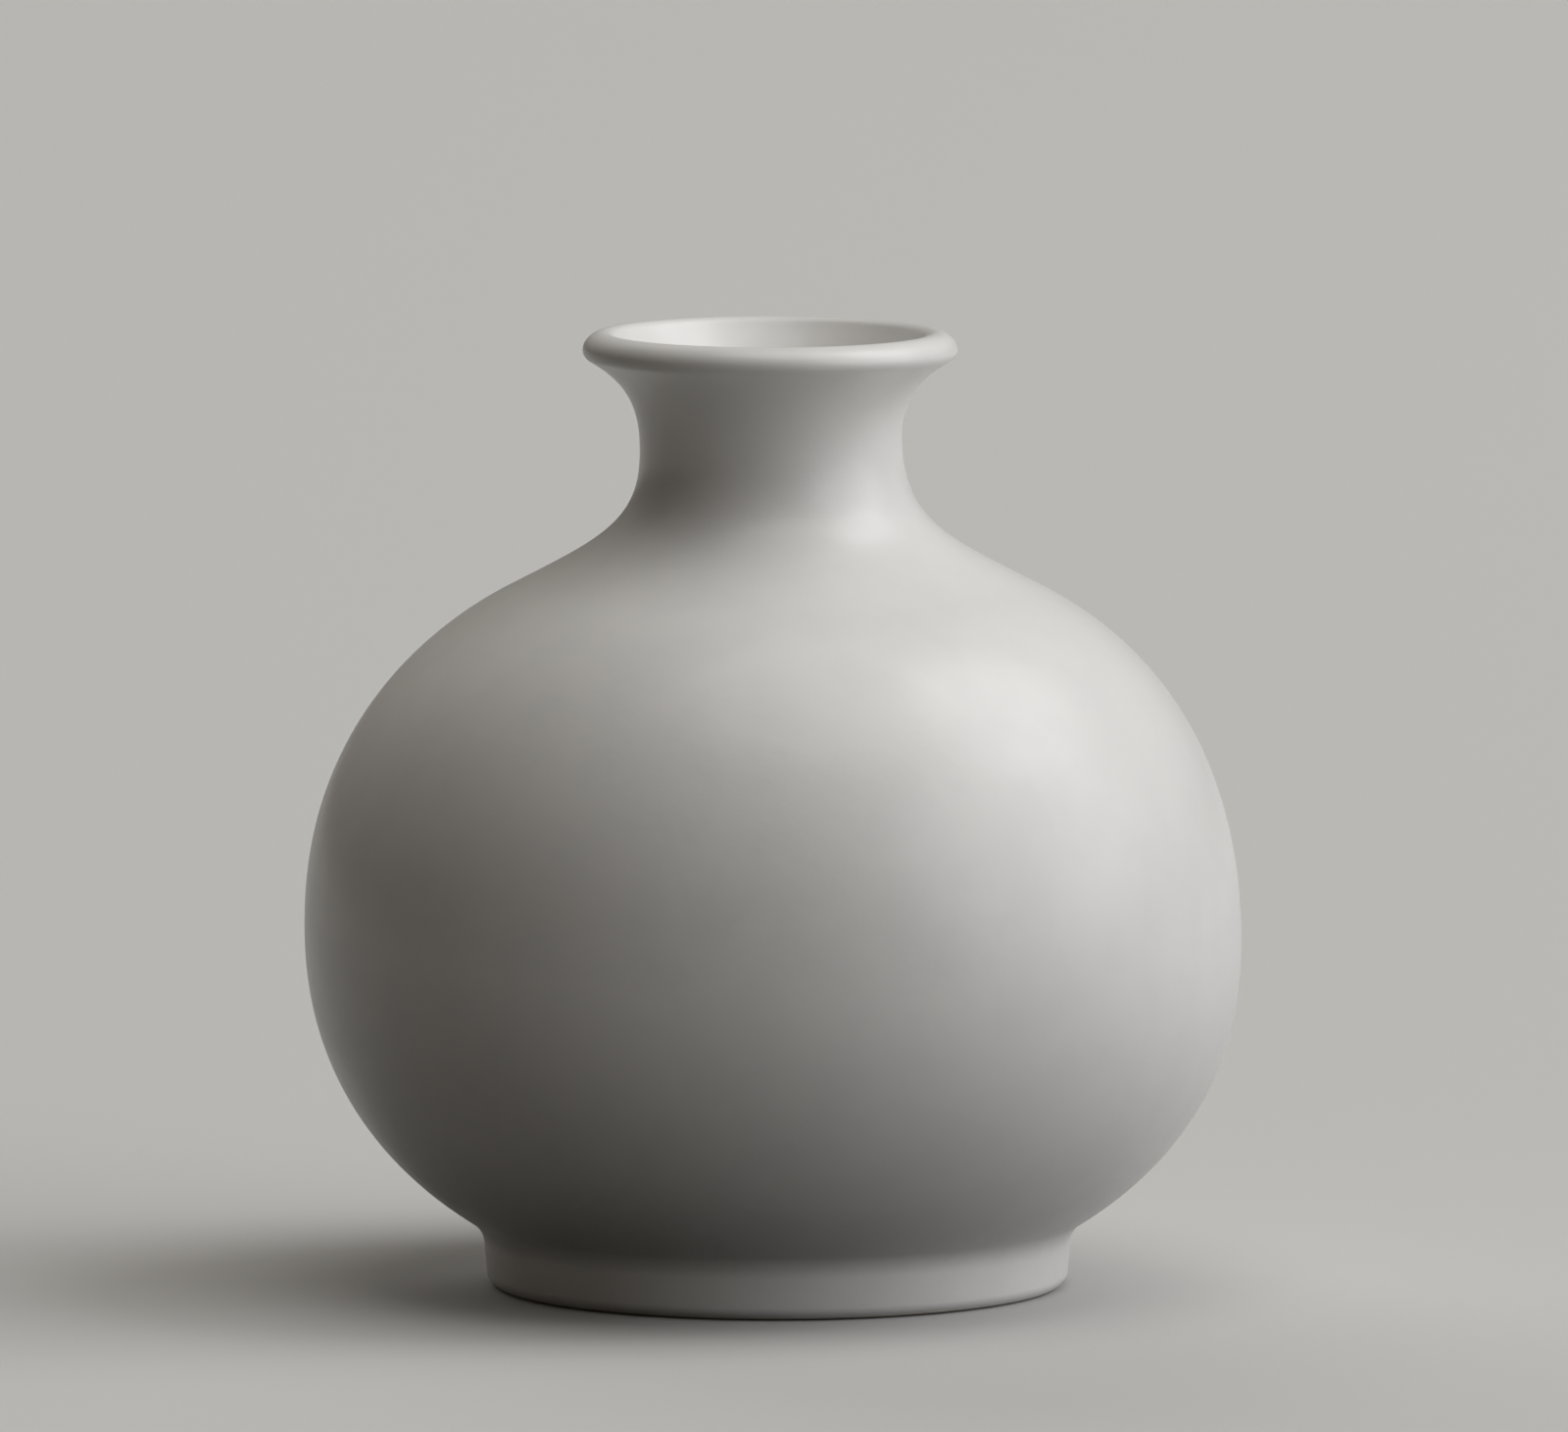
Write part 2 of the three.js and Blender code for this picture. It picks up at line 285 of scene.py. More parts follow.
class Outline:
    """The finished vase's lines between its joints, and the clay's lines under the glaze."""

    def __init__(self, form, hand):
        self.form, self.hand = form, hand
        self.trace_foot()
        self.trace_outside()
        self.lines = {**self.foot_lines(), **self.wall_lines()}
        self.clay = {name: sunk(line, self.glaze_depth(line)) for name, line in self.lines.items()}

    def foot_side(self, height):
        """The foot's outer side, before its edge is rounded."""
        return np.array((self.form.foot_radius + height * math.tan(self.form.foot_lean), height))

    def foot_inside(self, height):
        """The foot's inner side, before its edge is rounded."""
        return np.array((self.form.foot_bore + height * math.tan(self.form.foot_bore_lean), height))

    def trace_foot(self):
        """The slip's two soft corners, over the foot and inside it."""
        form, steps = self.form, LINE_STEPS
        self.ring_top = form.foot_height - form.slip
        corner = self.foot_side(form.foot_height)
        up_the_belly = corner + heading(form.rise_from_foot)
        self.fillet = rounded_corner(
            self.foot_side(0), corner, up_the_belly, form.foot_fillet, steps["fillet"]
        )
        ceiling = np.array((0, form.underside))
        inside_corner = self.foot_inside(form.underside)
        self.cove = rounded_corner(
            ceiling, inside_corner, self.foot_inside(0), form.foot_cove, steps["cove"]
        )

    def trace_outside(self):
        """The outside from the foot's fillet to the waist, with its length as a tape would lie."""
        form = self.form
        girth = np.array((form.belly_radius, form.belly_height))
        shoulder = np.array((form.shoulder_radius, form.shoulder_height))
        waist = np.array((form.waist_radius, form.waist_height))
        start, inward = self.fillet[-1, :2], form.rise_over_shoulder
        curves = [
            flow(start, form.rise_from_foot, girth, UPRIGHT, form.belly_low, TRACE_STEPS),
            flow(girth, UPRIGHT, shoulder, inward, form.belly_high, TRACE_STEPS),
            flow(shoulder, inward, waist, UPRIGHT, form.neck_root, TRACE_STEPS),
        ]
        self.trace = join(*curves)
        gaps = np.linalg.norm(np.diff(self.trace[:, :2], axis=0), axis=1)
        self.tape = np.concatenate([[0], np.cumsum(gaps)])
        self.waist_reach = self.tape[-1]
        self.belly_joint = np.interp(girth[1], self.trace[:, 1], self.tape)
        self.neck_joint = np.interp(shoulder[1], self.trace[:, 1], self.tape)

    def outside(self, reach):
        """The outside, at lengths along the tape."""
        reach = np.atleast_1d(reach)
        columns = [np.interp(reach, self.tape, column) for column in self.trace.T]
        return np.stack(columns, axis=1)

    def wall(self, reach):
        """How thick the wall is, at lengths along the tape."""
        share = np.atleast_1d(reach) / self.waist_reach
        return self.form.wall_at_foot + (self.form.wall_at_waist - self.form.wall_at_foot) * share

    def inside(self, reach):
        """The inside, struck square from the outside."""
        return sunk(self.outside(reach), self.wall(reach))

    def foot_lines(self):
        """Lines of the foot, from the middle of the underside round to the fillet."""
        form, steps = self.form, LINE_STEPS
        standing = np.array(((form.foot_radius + form.foot_bore) / 2, 0))
        outer_top, inner_top = self.foot_side(self.ring_top), self.foot_inside(self.ring_top)
        outer, inner = self.foot_side(0), self.foot_inside(0)
        outer_edge = rounded_corner(
            standing, outer, outer_top, form.foot_outer_edge, steps["foot_outer_edge"]
        )
        inner_edge = rounded_corner(
            inner_top, inner, standing, form.foot_inner_edge, steps["foot_inner_edge"]
        )
        ends = {
            "underside": (np.array((0, form.underside)), self.cove[0, :2]),
            "foot_inside": (self.cove[-1, :2], inner_edge[0, :2]),
            "standing": (inner_edge[-1, :2], outer_edge[0, :2]),
            "foot_outside": (outer_edge[-1, :2], self.fillet[0, :2]),
        }
        return {
            **{name: straight(start, end, steps[name]) for name, (start, end) in ends.items()},
            "cove": self.cove,
            "foot_inner_edge": inner_edge,
            "foot_outer_edge": outer_edge,
            "fillet": self.fillet,
            "outer_ring_top": straight(outer, outer_top),
            "inner_ring_top": straight(inner_top, inner),
        }

    def wall_lines(self):
        """Lines of the wall, the lip, the mouth and the floor, outside and inside."""
        form, half, steps = self.form, self.form.slip / 2, LINE_STEPS
        stops = {
            "bowl": (0, self.belly_joint - half),
            "belly_gap": (self.belly_joint - half, self.belly_joint + half),
            "dome": (self.belly_joint + half, self.neck_joint - half),
            "neck_gap": (self.neck_joint - half, self.neck_joint + half),
            "neck": (self.neck_joint + half, self.waist_reach),
        }
        lines = {}
        for name, (low, high) in stops.items():
            lines[name] = self.outside(np.linspace(low, high, steps[name] + 1))
            inner_steps = math.ceil(steps[name] / 2)
            lines[name + "_inside"] = backwards(self.inside(np.linspace(low, high, inner_steps + 1)))
        edge, end = np.array((form.lip_radius, form.total_height)), form.rise_out_of_mouth + math.pi
        halves = np.array(form.lip_roll)
        lip = oval(edge, halves, form.lip_droop, form.rise_into_lip, end, steps["lip"])
        waist, throat = self.trace[-1, :2], self.inside(self.waist_reach)[0, :2]
        lines["flare"] = flow(
            waist, UPRIGHT, lip[0, :2], form.rise_into_lip, form.flare, steps["flare"]
        )
        lines["lip"] = lip
        mouth = flow(
            throat, UPRIGHT, lip[-1, :2], form.rise_out_of_mouth, form.mouth, steps["mouth"]
        )
        lines["mouth"] = backwards(mouth)
        middle, wall_foot = np.array((0, form.floor_height)), self.inside(0)[0, :2]
        floor = flow(middle, 0, wall_foot, form.rise_from_foot, form.floor, steps["floor"])
        lines["floor"] = backwards(floor)
        return lines

    def glaze_depth(self, line):
        """Nothing on the wiped foot, then thickening to the full coat."""
        hand = self.hand
        share = np.clip((line[:, 1] - hand.bare_edge) / (hand.full_glaze - hand.bare_edge), 0, 1)
        coat = hand.glaze * (GLAZE_START + (1 - GLAZE_START) * share)
        return np.where(line[:, 1] < hand.bare_edge, 0, coat)

    def joint_face(self, reach):
        """A face across the wall, with the ridge that keys into the piece below."""
        outer = sunk(self.outside(reach), self.hand.glaze)
        inner = sunk(self.outside(reach), self.wall(reach) - self.hand.glaze)
        ridge = sunk(self.outside(reach), self.wall(reach) / 2)
        ridge[0, :2] -= ridge[0, 2:] * self.form.key
        return np.vstack([outer, ridge, inner])

    def track(self):
        """The corners of the track in the underside that the foot ring is seated in."""
        form = self.form
        ceiling = self.clay["underside"][-1, 1]
        radius = self.foot_inside(form.underside)[0] - form.slip
        end, way = self.clay["fillet"][-1, :2], heading(form.rise_from_foot)
        corner = end - way * (end[1] - form.foot_height) / way[1]
        return [spot(radius, ceiling), spot(radius, form.foot_height), spot(*corner)]


def section_of(name, outline):
    """The closed section of one piece."""
    clay, half = outline.clay, outline.form.slip / 2
    track = outline.track()
    ring_outer, ring_inner = clay["outer_ring_top"][-1:], clay["inner_ring_top"][:1]
    low, high = outline.belly_joint, outline.neck_joint
    face = outline.joint_face
    sections = {
        "foot_ring": lambda: join(
            *(clay[part] for part in ("foot_inside", "foot_inner_edge", "standing")),
            *(clay[part] for part in ("foot_outer_edge", "foot_outside")),
            ring_outer,
            ring_inner,
        ),
        "foot_seam": lambda: join(clay["fillet"], *track[::-1], clay["cove"], ring_inner, ring_outer),
        "lower_bowl": lambda: join(
            clay["underside"], *track, clay["bowl"], face(low - half), clay["bowl_inside"], clay["floor"]
        ),
        "belly_seam": lambda: join(face(low - half)[::-1], face(low + half)),
        "upper_dome": lambda: join(
            face(low + half)[::-1], clay["dome"], face(high - half), clay["dome_inside"]
        ),
        "neck_seam": lambda: join(face(high - half)[::-1], face(high + half)),
        "neck_collar": lambda: join(
            face(high + half)[::-1],
            *(clay[part] for part in ("neck", "flare", "lip", "mouth", "neck_inside")),
        ),
    }
    return sections[name]()


COAT_PARTS = (
    "foot_outer_edge", "foot_outside", "fillet", "bowl", "belly_gap", "dome", "neck_gap", "neck",
    "flare", "lip", "mouth", "neck_inside", "neck_gap_inside", "dome_inside", "belly_gap_inside",
    "bowl_inside", "floor",
)
WELL_PARTS = ("underside", "cove", "foot_inside", "foot_inner_edge")


def glaze_section(outline, parts):
    """The closed section of a coat of glaze, from the finished surface down to the clay."""
    finished = join(*(outline.lines[part] for part in parts))
    under = join(*(outline.clay[part] for part in parts))
    glazed = finished[:, 1] >= outline.hand.bare_edge
    finished, under = finished[glazed], under[glazed]
    ends = under[[0, -1]]
    under = np.vstack([ends[:1], under[1:-1:2], ends[1:]])
    if finished[0, 0] < finished[-1, 0]:
        return join(finished, backwards(under))
    return join(backwards(under), finished)


# Geometry Nodes: the wheel that turns a section

RIPPLE_DETAIL = 1.5
RIPPLE_ROUGHNESS = 0.35
CREASE_ANGLE = math.radians(38)


def add_node(tree, kind, inputs=None, **settings):
    """A node with its settings, its inputs filled by values or linked from sockets."""
    node = tree.nodes.new(kind)
    for name, value in settings.items():
        setattr(node, name, value)
    for name, value in (inputs or {}).items():
        if isinstance(value, bpy.types.NodeSocket):
            tree.links.new(value, node.inputs[name])
        else:
            node.inputs[name].default_value = value
    return node


def shared_group(name, build):
    """The node group of that name, built once."""
    return bpy.data.node_groups.get(name) or build()


def math_node(tree, operation, first, second=0.0):
    """One step of arithmetic."""
    return add_node(tree, "ShaderNodeMath", {0: first, 1: second}, operation=operation).outputs[0]


def vector_node(tree, operation, inputs):
    """One step of arithmetic on vectors."""
    return add_node(tree, "ShaderNodeVectorMath", inputs, operation=operation).outputs[0]


def geometry_node(tree, kind, inputs):
    """A step that changes the form and hands it on."""
    return add_node(tree, "GeometryNode" + kind, inputs).outputs[0]


def sample_section(tree, section, attribute, index, data_type):
    """What one point of the section holds."""
    inputs = {"Geometry": section, "Value": attribute, "Index": index}
    node = add_node(tree, "GeometryNodeSampleIndex", inputs, data_type=data_type, domain="POINT")
    return node.outputs["Value"]


def turning_tree():
    """Turns a section round the axis, then lets it sway and waver as the hand left it."""
    tree = bpy.data.node_groups.new("Turned form", "GeometryNodeTree")
    for name, kind in (
        ("Section", "NodeSocketGeometry"),
        ("Steps round", "NodeSocketInt"),
        ("Ripple depth", "NodeSocketFloat"),
        ("Ripple size", "NodeSocketFloat"),
        ("Seed", "NodeSocketInt"),
        ("Material", "NodeSocketMaterial"),
    ):
        tree.interface.new_socket(name=name, in_out="INPUT", socket_type=kind)
    tree.interface.new_socket(name="Form", in_out="OUTPUT", socket_type="NodeSocketGeometry")
    given = tree.nodes.new("NodeGroupInput").outputs
    section = given["Section"]
    size = add_node(tree, "GeometryNodeAttributeDomainSize", {"Geometry": section})
    columns = math_node(tree, "ADD", given["Steps round"], 1)
    grid_inputs = {"Vertices X": size.outputs["Point Count"], "Vertices Y": columns}
    grid = add_node(tree, "GeometryNodeMeshGrid", grid_inputs)
    index = tree.nodes.new("GeometryNodeInputIndex").outputs[0]
    half_past = math_node(tree, "ADD", index, 0.5)
    row = math_node(tree, "FLOOR", math_node(tree, "DIVIDE", half_past, columns))
    column = math_node(tree, "SUBTRACT", index, math_node(tree, "MULTIPLY", row, columns))
    position = tree.nodes.new("GeometryNodeInputPosition").outputs[0]
    place = sample_section(tree, section, position, row, "FLOAT_VECTOR")
    stray = add_node(tree, "GeometryNodeInputNamedAttribute", {"Name": "drift"}, data_type="FLOAT")
    drift = sample_section(tree, section, stray.outputs["Attribute"], row, "FLOAT")

    share = math_node(tree, "DIVIDE", column, given["Steps round"])
    angle = math_node(tree, "MULTIPLY", math_node(tree, "FRACT", share), 2 * math.pi)
    turned = add_node(
        tree, "ShaderNodeVectorRotate", {"Vector": place, "Angle": angle}, rotation_type="Z_AXIS"
    ).outputs[0]
    scale = math_node(tree, "DIVIDE", 1, given["Ripple size"])
    noise = add_node(
        tree,
        "ShaderNodeTexNoise",
        {
            "Vector": turned,
            "W": given["Seed"],
            "Scale": scale,
            "Detail": RIPPLE_DETAIL,
            "Roughness": RIPPLE_ROUGHNESS,
        },
        noise_dimensions="4D",
    )
    centred = math_node(tree, "SUBTRACT", noise.outputs[0], 0.5)
    depth = math_node(tree, "MULTIPLY", centred, math_node(tree, "MULTIPLY", given["Ripple depth"], 2))
    flat = vector_node(tree, "MULTIPLY", {0: turned, 1: (1, 1, 0)})
    spoke = vector_node(tree, "NORMALIZE", {0: flat})
    waver = vector_node(tree, "SCALE", {0: spoke, "Scale": depth})
    sway = add_node(tree, "ShaderNodeCombineXYZ", {0: drift}).outputs[0]
    moved = vector_node(tree, "ADD", {0: waver, 1: sway})
    final = vector_node(tree, "ADD", {0: turned, 1: moved})

    form = geometry_node(tree, "SetPosition", {"Geometry": grid.outputs["Mesh"], "Position": final})
    form = geometry_node(tree, "MergeByDistance", {"Geometry": form, "Distance": WELD})
    form = geometry_node(tree, "FlipFaces", {"Mesh": form})
    form = geometry_node(tree, "RealizeInstances", {"Geometry": form})
    form = geometry_node(tree, "SetMaterial", {"Geometry": form, "Material": given["Material"]})
    result = tree.nodes.new("NodeGroupOutput")
    tree.links.new(form, result.inputs["Form"])
    return tree


def eased(share, values):
    """A smooth curve through values at even steps, read at a share of the way."""
    values = np.array(values)
    slopes = np.gradient(values)
    slopes[0] = 0
    place = np.clip(share, 0, 1) * (len(values) - 1)
    step = np.minimum(place.astype(int), len(values) - 2)
    t = place - step
    start, end = values[step], values[step + 1]
    leave, arrive = slopes[step], slopes[step + 1]
    bend = 2 * (start - end) + leave + arrive
    return start + t * (leave + t * (3 * (end - start) - 2 * leave - arrive + t * bend))


def turn(name, section, material, hand, replaces=None):
    """Turns one section into a plain mesh that rides on the frame."""
    starts_on_axis = section[0, 0] < SAME_POINT
    rows = section if starts_on_axis else np.vstack([section, section[:1]])
    mesh = bpy.data.meshes.new(name)
    mesh.from_pydata([(r, 0, z) for r, z in rows[:, :2]], [], [])
    drift = eased(rows[:, 1] / TOTAL_HEIGHT, hand.sway)
    mesh.attributes.new("drift", "FLOAT", "POINT").data.foreach_set("value", drift)
    piece = bpy.data.objects.new(name, mesh)
    bpy.context.scene.collection.objects.link(piece)
    tree = shared_group("Turned form", turning_tree)
    modifier = piece.modifiers.new("Turned form", "NODES")
    modifier.node_group = tree
    given = {
        "Steps round": hand.steps,
        "Ripple depth": hand.ripple,
        "Ripple size": hand.ripple_size,
        "Seed": hand.seed,
        "Material": material,
    }
    for socket in tree.interface.items_tree:
        if socket.name in given:
            modifier[socket.identifier] = given[socket.name]
    evaluated = piece.evaluated_get(bpy.context.evaluated_depsgraph_get())
    turned = bpy.data.meshes.new_from_object(evaluated)
    piece.modifiers.clear()
    piece.data = turned
    turned.name = name
    bpy.data.meshes.remove(mesh)
    turned.shade_smooth()
    turned.set_sharp_from_angle(angle=CREASE_ANGLE)
    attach(piece, BODY)
    if replaces:
        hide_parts(replaces)


# Materials

# How far the wheel marks are drawn out round the axis, and how many finer scales each noise holds
RING_SQUEEZE = 0.12
RING_DETAIL = 2
GRAIN_DETAIL = 3
TONE_DETAIL = 3

# Where in the noise the second tone sets in, and where it is full
TONE_EDGES = (0.35, 0.7)

CERAMIC_IOR = 1.5


def shader_group(name, inputs, outputs):
    """An empty shader group with named inputs and outputs."""
    group = bpy.data.node_groups.new(name, "ShaderNodeTree")
    for label, kind in inputs.items():
        group.interface.new_socket(name=label, in_out="INPUT", socket_type="NodeSocket" + kind)
    for label, kind in outputs.items():
        group.interface.new_socket(name=label, in_out="OUTPUT", socket_type="NodeSocket" + kind)
    return group, group.nodes.new("NodeGroupInput").outputs, group.nodes.new("NodeGroupOutput").inputs


def noise_node(tree, place, size, detail):
    """Soft noise with lumps of about one size."""
    scale = math_node(tree, "DIVIDE", 1, size)
    inputs = {"Vector": place, "Scale": scale, "Detail": detail}
    return add_node(tree, "ShaderNodeTexNoise", inputs).outputs[0]


def surface_group():
    """Throwing rings and fine grain, as one height."""
    inputs = {
        "Place": "Vector",
        "Ring size": "Float",
        "Rings": "Float",
        "Grain size": "Float",
        "Grain": "Float",
    }
    group, given, result = shader_group("Wheel marks", inputs, {"Height": "Float"})
    squeeze = (RING_SQUEEZE, RING_SQUEEZE, 1)
    squeezed = vector_node(group, "MULTIPLY", {0: given["Place"], 1: squeeze})
    rings = noise_node(group, squeezed, given["Ring size"], RING_DETAIL)
    grain = noise_node(group, given["Place"], given["Grain size"], GRAIN_DETAIL)
    total = math_node(
        group,
        "ADD",
        math_node(group, "MULTIPLY", rings, given["Rings"]),
        math_node(group, "MULTIPLY", grain, given["Grain"]),
    )
    group.links.new(total, result["Height"])
    return group


def tone_group():
    """Slow drift between two tones of one finish."""
    inputs = {
        "Place": "Vector",
        "Main": "Color",
        "Other": "Color",
        "Size": "Float",
        "Share": "Float",
    }
    group, given, result = shader_group("Kiln tone", inputs, {"Colour": "Color", "Mask": "Float"})
    cloud = noise_node(group, given["Place"], given["Size"], TONE_DETAIL)
    mask = add_node(
        group,
        "ShaderNodeMapRange",
        {
            "Value": cloud,
            "From Min": TONE_EDGES[0],
            "From Max": TONE_EDGES[1],
            "To Min": 0.0,
            "To Max": given["Share"],
        },
        interpolation_type="SMOOTHSTEP",
    ).outputs[0]
    mix = add_node(
        group, "ShaderNodeMix", {"Factor": mask, 6: given["Main"], 7: given["Other"]}, data_type="RGBA"
    )
    group.links.new(mix.outputs[2], result["Colour"])
    group.links.new(mask, result["Mask"])
    return group


def finish(name, main, other, look):
    """The ceramic finish of that name, made once: tone, gloss and surface from the shared groups."""
    material = bpy.data.materials.get(name)
    if material:
        return material
    material = bpy.data.materials.new(name)
    material.use_nodes = True
    tree = material.node_tree
    shader = tree.nodes["Principled BSDF"]
    place = tree.nodes.new("ShaderNodeTexCoord").outputs["Object"]
    tone = add_node(
        tree,
        "ShaderNodeGroup",
        {
            "Place": place,
            "Main": (*main, 1),
            "Other": (*other, 1),
            "Size": look["tone_size"],
            "Share": look["tone_share"],
        },
        node_tree=shared_group("Kiln tone", tone_group),
    )
    marks = add_node(
        tree,
        "ShaderNodeGroup",
        {
            "Place": place,
            "Ring size": look["ring_size"],
            "Rings": look["rings"],
            "Grain size": look["grain_size"],
            "Grain": look["grain"],
        },
        node_tree=shared_group("Wheel marks", surface_group),
    )
    bump = add_node(
        tree, "ShaderNodeBump", {"Height": marks.outputs["Height"], "Strength": 1, "Distance": MM}
    )
    gloss = add_node(
        tree,
        "ShaderNodeMapRange",
        {
            "Value": tone.outputs["Mask"],
            "From Min": 0.0,
            "From Max": 1.0,
            "To Min": look["roughness"],
            "To Max": look["roughness"] + look["roughness_drift"],
        },
    ).outputs[0]
    tree.links.new(tone.outputs["Colour"], shader.inputs["Base Color"])
    tree.links.new(gloss, shader.inputs["Roughness"])
    tree.links.new(bump.outputs[0], shader.inputs["Normal"])
    shader.inputs["IOR"].default_value = CERAMIC_IOR
    return material


# Each finish: sizes in metres, shares from 0 to 1, depths of rings and grain in mm
GLAZE_LOOK = {
    "tone_size": 7 * MM,
    "tone_share": 0.5,
    "ring_size": 7 * MM,
    "rings": 0.03,
    "grain_size": 1.8 * MM,
    "grain": 0.024,
    "roughness": 0.29,
    "roughness_drift": 0.05,
}
CLAY_LOOK = {
    "tone_size": 9 * MM,
    "tone_share": 0.8,
    "ring_size": 1.2 * MM,
    "rings": 0.04,
    "grain_size": 0.35 * MM,
    "grain": 0.05,
    "roughness": 0.82,
    "roughness_drift": 0.08,
}
SLIP_LOOK = {
    "tone_size": 5 * MM,
    "tone_share": 0.8,
    "ring_size": 0.9 * MM,
    "rings": 0.02,
    "grain_size": 0.25 * MM,
    "grain": 0.03,
    "roughness": 0.78,
    "roughness_drift": 0.08,
}


def satin_glaze(colours):
    """The white glaze, which drifts a little to a cooler tone."""
    return finish("kiln_glaze", colours.glaze, colours.glaze_cool, GLAZE_LOOK)


def bare_porcelain(colours):
    """The clay without glaze, as it comes out of the kiln."""
    return finish("fired_clay", colours.clay, colours.slip, CLAY_LOOK)


def joint_slip(colours):
    """The slip in the joints."""
    return finish("dried_slip", colours.slip, colours.clay, SLIP_LOOK)


# Operators: one for each piece or group of like pieces, and one for the studio


def turn_clay(context, names, material):
    """Turns clay pieces, each in place of the frame's node of that name."""
    scene = context.scene
    outline = Outline(scene.vase_form, scene.vase_hand)
    for name in names:
        section = section_of(name, outline)
        turn(name + "_clay", section, material, scene.vase_hand, replaces=name)
    return {"FINISHED"}


class VASE_OT_foot(bpy.types.Operator):
    """Turn the foot ring"""

    bl_idname = "vase.foot"
    bl_label = "Foot ring"

    def execute(self, context):
        material = bare_porcelain(context.scene.vase_colours)
        return turn_clay(context, ("foot_ring",), material)


class VASE_OT_body(bpy.types.Operator):
    """Turn the lower bowl and the upper dome"""

    bl_idname = "vase.body"
    bl_label = "Bowl and dome"

    def execute(self, context):
        material = bare_porcelain(context.scene.vase_colours)
        return turn_clay(context, ("lower_bowl", "upper_dome"), material)


class VASE_OT_neck(bpy.types.Operator):
    """Turn the neck collar with its rolled lip"""

    bl_idname = "vase.neck"
    bl_label = "Neck collar"

    def execute(self, context):
        material = bare_porcelain(context.scene.vase_colours)
        return turn_clay(context, ("neck_collar",), material)


class VASE_OT_seams(bpy.types.Operator):
    """Lay the slip in the three joints"""

    bl_idname = "vase.seams"
    bl_label = "Slip seams"

    def execute(self, context):
        material = joint_slip(context.scene.vase_colours)
        names = ("foot_seam", "belly_seam", "neck_seam")
        return turn_clay(context, names, material)


class VASE_OT_glaze(bpy.types.Operator):
    """Coat the vase inside and out, and the well of the foot, with satin glaze"""

    bl_idname = "vase.glaze"
    bl_label = "Glaze"

    def execute(self, context):
        scene = context.scene
        outline = Outline(scene.vase_form, scene.vase_hand)
        material = satin_glaze(scene.vase_colours)
        for name, parts in (("glaze_coat", COAT_PARTS), ("foot_well_glaze", WELL_PARTS)):
            section = glaze_section(outline, parts)
            turn(name, section, material, scene.vase_hand)
        return {"FINISHED"}


# Studio

# The picture in pixels, where the middle of the foot lies in it, and a pixel's width at the vase
PICTURE_SIZE = (1600, 1461)
FOOT_PIXEL = (793, 1310.5)
PIXEL = 0.12 * MM

# Distances in metres, and the sensor's width in mm
CAMERA_DISTANCE = 3.12
CAMERA_PITCH = math.radians(6.3)
CAMERA_REACH = 50
SENSOR = 36

# The floor: radius in metres, sides of its round edge, drop under the foot, and its dull finish
FLOOR_RADIUS = 8
FLOOR_STEPS = 96
FLOOR_DROP = 0.05 * MM
FLOOR_ROUGHNESS = 0.9
FLOOR_SPECULAR = 0.2


def camera_target():
    """The point on the vase's middle plane at the middle of the picture."""
    right = (PICTURE_SIZE[0] / 2 - FOOT_PIXEL[0]) * PIXEL
    up = (FOOT_PIXEL[1] - PICTURE_SIZE[1] / 2) * PIXEL / math.cos(CAMERA_PITCH)
    return Vector((right, 0, up))


def place_camera():
    """A long lens that looks down a little at the front of the vase."""
    data = bpy.data.cameras.new("studio_camera")
    data.sensor_width = SENSOR
    data.sensor_fit = "HORIZONTAL"
    data.lens = SENSOR * CAMERA_DISTANCE / (PICTURE_SIZE[0] * PIXEL)
    data.clip_end = CAMERA_REACH
    camera = bpy.data.objects.new("studio_camera", data)
    bpy.context.scene.collection.objects.link(camera)
    back = Vector((0, -math.cos(CAMERA_PITCH), math.sin(CAMERA_PITCH)))
    camera.location = camera_target() + back * CAMERA_DISTANCE
    camera.rotation_euler = (UPRIGHT - CAMERA_PITCH, 0, 0)
    bpy.context.scene.camera = camera


# Lamps: azimuth to the right of the camera and elevation, in degrees; width and height in metres;
# watts; tint; and whether the glaze mirrors the lamp, as it does a window and not a dull wall
LAMPS = {
    "window_lamp": ((102, 50.5), (4.2, 3.6), 88, (0.96, 0.97, 1), True),
    "room_lamp": ((71, 24), (8, 6), 202, (0.97, 0.975, 1), True),
    "ceiling_lamp": ((60, 78), (6, 6), 116, (1, 0.985, 0.95), True),
    "sill_lamp": ((104, 8), (5, 2.6), 58, (0.97, 0.975, 1), False),
    "wall_lamp": ((-164, 28), (5.6, 4.5), 90, (1, 0.98, 0.94), False),
}
LAMP_DISTANCE = 6
LAMP_AIM = Vector((0, 0, 60 * MM))

# The dim light of the room all round
WORLD_TINT = (0.56, 0.5, 0.43, 1)
WORLD_STRENGTH = 0.16


def place_lamp(name, direction, size, power, tint, mirrored):
    """A soft oval lamp that looks at the belly of the vase."""
    data = bpy.data.lights.new(name, "AREA")
    data.shape = "ELLIPSE"
    data.size, data.size_y = size
    data.energy = power
    data.color = tint
    lamp = bpy.data.objects.new(name, data)
    bpy.context.scene.collection.objects.link(lamp)
    azimuth, elevation = (math.radians(angle) for angle in direction)
    away = Vector(
        (
            math.sin(azimuth) * math.cos(elevation),
            -math.cos(azimuth) * math.cos(elevation),
            math.sin(elevation),
        )
    )
    lamp.location = LAMP_AIM + away * LAMP_DISTANCE
    lamp.rotation_euler = away.to_track_quat("Z", "Y").to_euler()
    lamp.visible_glossy = mirrored


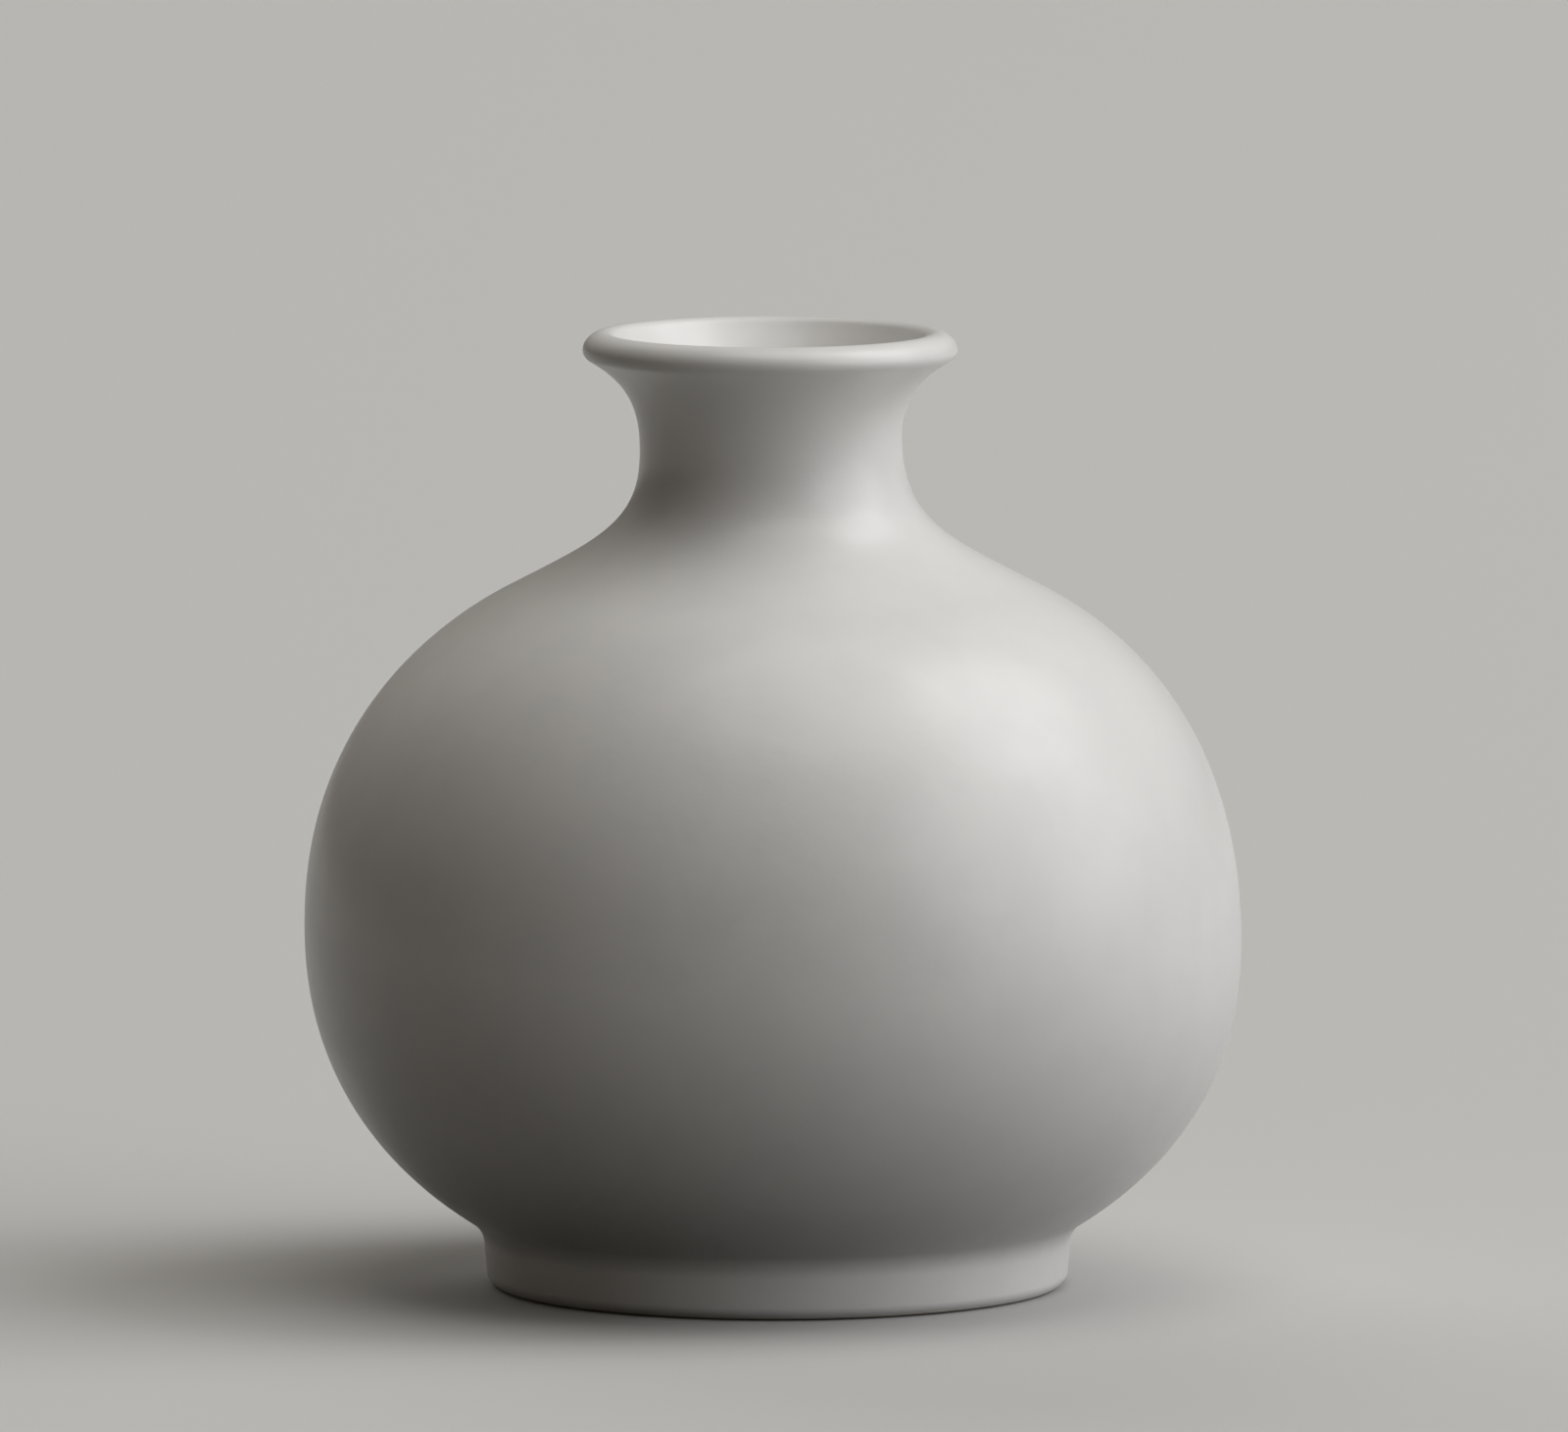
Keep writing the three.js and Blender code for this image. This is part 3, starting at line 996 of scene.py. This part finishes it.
def lay_floor(colours):
    """A plain pale floor that fills the view and throws little light back at the underside."""
    ring = [2 * math.pi * step / FLOOR_STEPS for step in range(FLOOR_STEPS)]
    corners = [(FLOOR_RADIUS * math.cos(a), FLOOR_RADIUS * math.sin(a), -FLOOR_DROP) for a in ring]
    mesh = bpy.data.meshes.new("studio_floor")
    mesh.from_pydata(corners, [], [tuple(range(FLOOR_STEPS))])
    floor = bpy.data.objects.new("studio_floor", mesh)
    bpy.context.scene.collection.objects.link(floor)
    material = bpy.data.materials.new("studio_floor")
    material.use_nodes = True
    tree = material.node_tree
    path = tree.nodes.new("ShaderNodeLightPath").outputs
    mirrored = math_node(tree, "MAXIMUM", path["Is Glossy Ray"], path["Is Transmission Ray"])
    seen = math_node(tree, "MAXIMUM", path["Is Camera Ray"], mirrored)
    tones = {"Factor": seen, 6: (*colours.floor_glow, 1), 7: (*colours.floor, 1)}
    mix = add_node(tree, "ShaderNodeMix", tones, data_type="RGBA")
    shader = tree.nodes["Principled BSDF"]
    tree.links.new(mix.outputs[2], shader.inputs["Base Color"])
    shader.inputs["Roughness"].default_value = FLOOR_ROUGHNESS
    shader.inputs["Specular IOR Level"].default_value = FLOOR_SPECULAR
    mesh.materials.append(material)


class VASE_OT_studio(bpy.types.Operator):
    """Set the camera, the floor and the soft light"""

    bl_idname = "vase.studio"
    bl_label = "Studio"

    def execute(self, context):
        scene = context.scene
        place_camera()
        lay_floor(scene.vase_colours)
        for name, lamp in LAMPS.items():
            place_lamp(name, *lamp)
        world = bpy.data.worlds.new("studio_world")
        world.use_nodes = True
        background = world.node_tree.nodes["Background"]
        background.inputs["Color"].default_value = WORLD_TINT
        background.inputs["Strength"].default_value = WORLD_STRENGTH
        scene.world = world
        scene.view_settings.view_transform = "Standard"
        return {"FINISHED"}


class VASE_PT_panel(bpy.types.Panel):
    """The vase's pieces and sizes"""

    bl_idname = "VASE_PT_panel"
    bl_label = "Ikebana vase"
    bl_space_type = "VIEW_3D"
    bl_region_type = "UI"
    bl_category = "Vase"

    def draw(self, context):
        for operator in OPERATORS:
            self.layout.operator(operator.bl_idname)
        for group in (context.scene.vase_form, context.scene.vase_hand, context.scene.vase_colours):
            box = self.layout.box()
            for name in group.bl_rna.properties.keys():
                if name not in ("rna_type", "name"):
                    box.prop(group, name)


GROUPS = {"vase_form": VaseForm, "vase_hand": VaseHand, "vase_colours": VaseColours}
OPERATORS = (VASE_OT_studio, VASE_OT_foot, VASE_OT_body, VASE_OT_neck, VASE_OT_seams, VASE_OT_glaze)


def register():
    """Adds the sizes, the operators and the panel."""
    for group in GROUPS.values():
        bpy.utils.register_class(group)
    for name, group in GROUPS.items():
        setattr(bpy.types.Scene, name, PointerProperty(type=group))
    for operator in OPERATORS:
        bpy.utils.register_class(operator)
    bpy.utils.register_class(VASE_PT_panel)


def unregister():
    """Takes them away again."""
    bpy.utils.unregister_class(VASE_PT_panel)
    for operator in reversed(OPERATORS):
        bpy.utils.unregister_class(operator)
    for name, group in GROUPS.items():
        delattr(bpy.types.Scene, name)
        bpy.utils.unregister_class(group)


def write_sizes():
    """Brings the view layer up to date."""
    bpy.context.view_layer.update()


def main():
    """Makes the studio and every piece."""
    register()
    bpy.ops.vase.studio()
    bpy.ops.vase.foot()
    bpy.ops.vase.body()
    bpy.ops.vase.neck()
    bpy.ops.vase.seams()
    bpy.ops.vase.glaze()
    write_sizes()


if __name__ == "__main__":
    main()
